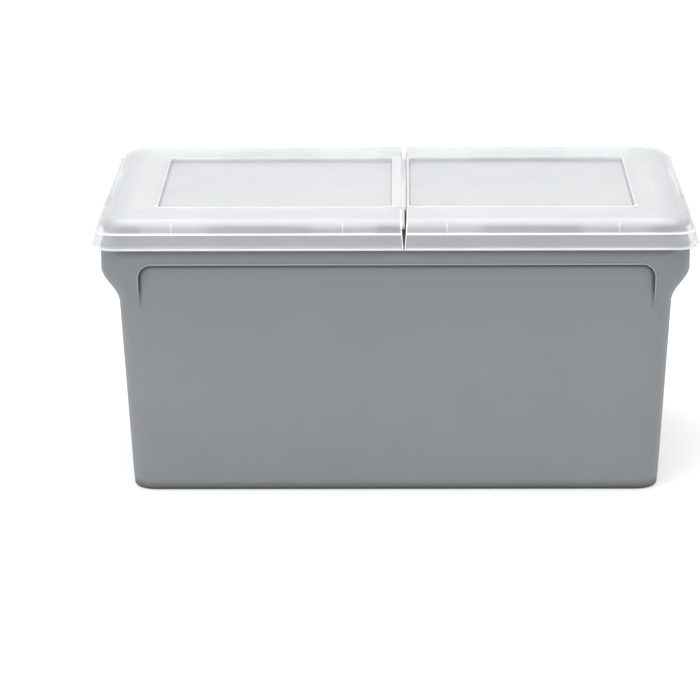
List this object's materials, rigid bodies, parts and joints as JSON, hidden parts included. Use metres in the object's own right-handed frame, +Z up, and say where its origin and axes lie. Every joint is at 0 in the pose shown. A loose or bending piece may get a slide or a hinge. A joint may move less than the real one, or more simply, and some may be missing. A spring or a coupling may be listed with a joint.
{
  "type": "pet food bin",
  "caption": "Rectangular food bin: tapered grey tub with a recessed grip under its collar and a translucent lid in two wings hinged at the short ends.",
  "frame": {"origin": "on the floor under the middle of the closed bin", "axes": "+X along the bin's length, +Y from the front to the back, +Z up"},
  "size_m": [0.5792, 0.349, 0.2731],
  "materials": {
    "grey_tub": "satin moulded polypropylene",
    "clear_lid": "milky translucent polypropylene"
  },
  "bodies": {
    "tub_body": {"tub": "grey_tub"},
    "left_wing": {"left_lid_wing": "clear_lid"},
    "right_wing": {"right_lid_wing": "clear_lid"}
  },
  "joints": [
    {"name": "left_wing_hinge", "type": "hinge", "parent": "tub_body", "child": "left_wing", "pos_m": [-0.286, 0, 0.243], "axis": [0, -1, 0], "range_deg": [0, 180]},
    {"name": "right_wing_hinge", "type": "hinge", "parent": "tub_body", "child": "right_wing", "pos_m": [0.286, 0, 0.243], "axis": [0, 1, 0], "range_deg": [0, 180]}
  ]
}
